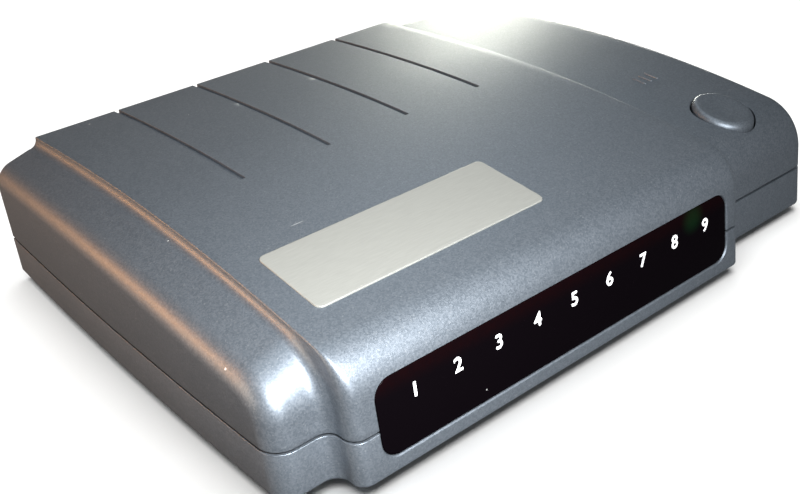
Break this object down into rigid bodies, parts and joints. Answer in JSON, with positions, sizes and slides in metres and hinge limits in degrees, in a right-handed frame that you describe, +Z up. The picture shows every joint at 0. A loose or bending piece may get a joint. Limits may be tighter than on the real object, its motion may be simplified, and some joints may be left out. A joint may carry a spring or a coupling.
{
  "type": "desktop fax modem",
  "caption": "Low desktop fax modem case with a raised crowned lobe, smoked lamp window, sprung oval power button and rear telephone, serial and power sockets.",
  "frame": {"origin": "middle of the footprint's box, on the surface that the rubber feet stand on", "axes": "+X to the right seen from the front window, +Y towards the rear sockets, +Z up"},
  "size_m": [0.1554, 0.1268, 0.0352],
  "materials": {
    "case_plastic": "satin, fine metallic flake",
    "panel_plastic": "satin",
    "smoked_window": "polished, smoked",
    "silver_plate": "satin",
    "black_plastic": "fine matt",
    "white_plastic": "matt",
    "foot_rubber": "matt",
    "zinc_steel": "zinc plated",
    "plated_steel": "tin plated",
    "board_laminate": "green resist",
    "insulator_plastic": "matt",
    "contact_gold": "gold flash",
    "lamp_lens": "clear tinted",
    "cone_paper": "pressed paper",
    "ferrite": "matt",
    "winding_tape": "polyester tape",
    "relay_plastic": "moulded",
    "varistor_coat": "dipped epoxy",
    "sink_aluminium": "black anodised",
    "chip_epoxy": "moulded epoxy",
    "capacitor_sleeve": "shrink sleeve"
  },
  "bodies": {
    "case": {"board_screws": "zinc_steel", "bottom_case": "case_plastic", "capacitor_1": "capacitor_sleeve", "capacitor_2": "capacitor_sleeve", "capacitor_3": "capacitor_sleeve", "case_screws": "zinc_steel", "circuit_board": "board_laminate", "control_chip": "chip_epoxy", "crystal_can": "plated_steel", "display_window": "smoked_window", "driver_chip": "chip_epoxy", "heat_sink": "sink_aluminium", "hook_relay": "relay_plastic", "indicator_lamp_1": "lamp_lens", "indicator_lamp_2": "lamp_lens", "indicator_lamp_3": "lamp_lens", "indicator_lamp_4": "lamp_lens", "indicator_lamp_5": "lamp_lens", "indicator_lamp_6": "lamp_lens", "indicator_lamp_7": "lamp_lens", "indicator_lamp_8": "lamp_lens", "indicator_lamp_9": "lamp_lens", "lamp_holder": "black_plastic", "line_jack": "black_plastic", "line_jack_contacts": "contact_gold", "memory_chip": "chip_epoxy", "nameplate_label": "silver_plate", "phone_jack": "black_plastic", "phone_jack_contacts": "contact_gold", "power_inlet": "black_plastic", "power_inlet_pin": "plated_steel", "power_switch_housing": "black_plastic", "rear_panel": "panel_plastic", "receiver_chip": "chip_epoxy", "rubber_feet": "foot_rubber", "serial_connector_contacts": "contact_gold", "serial_connector_insulator": "insulator_plastic", "serial_connector_shell": "plated_steel", "serial_jackscrews": "zinc_steel", "signal_chip": "chip_epoxy", "speaker_cone": "cone_paper", "speaker_frame": "plated_steel", "speaker_magnet": "ferrite", "surge_suppressor": "varistor_coat", "top_cover": "case_plastic", "transformer_bobbin": "black_plastic", "transformer_core": "ferrite", "transformer_winding": "winding_tape", "voltage_regulator": "black_plastic"},
    "button": {"power_button": "case_plastic", "power_switch_plunger": "white_plastic"}
  },
  "joints": [
    {"name": "power_button_press", "type": "slide", "parent": "case", "child": "button", "axis": [0, 0, -1], "range_m": [0, 0.0025], "stiffness_N_per_m": 600}
  ]
}
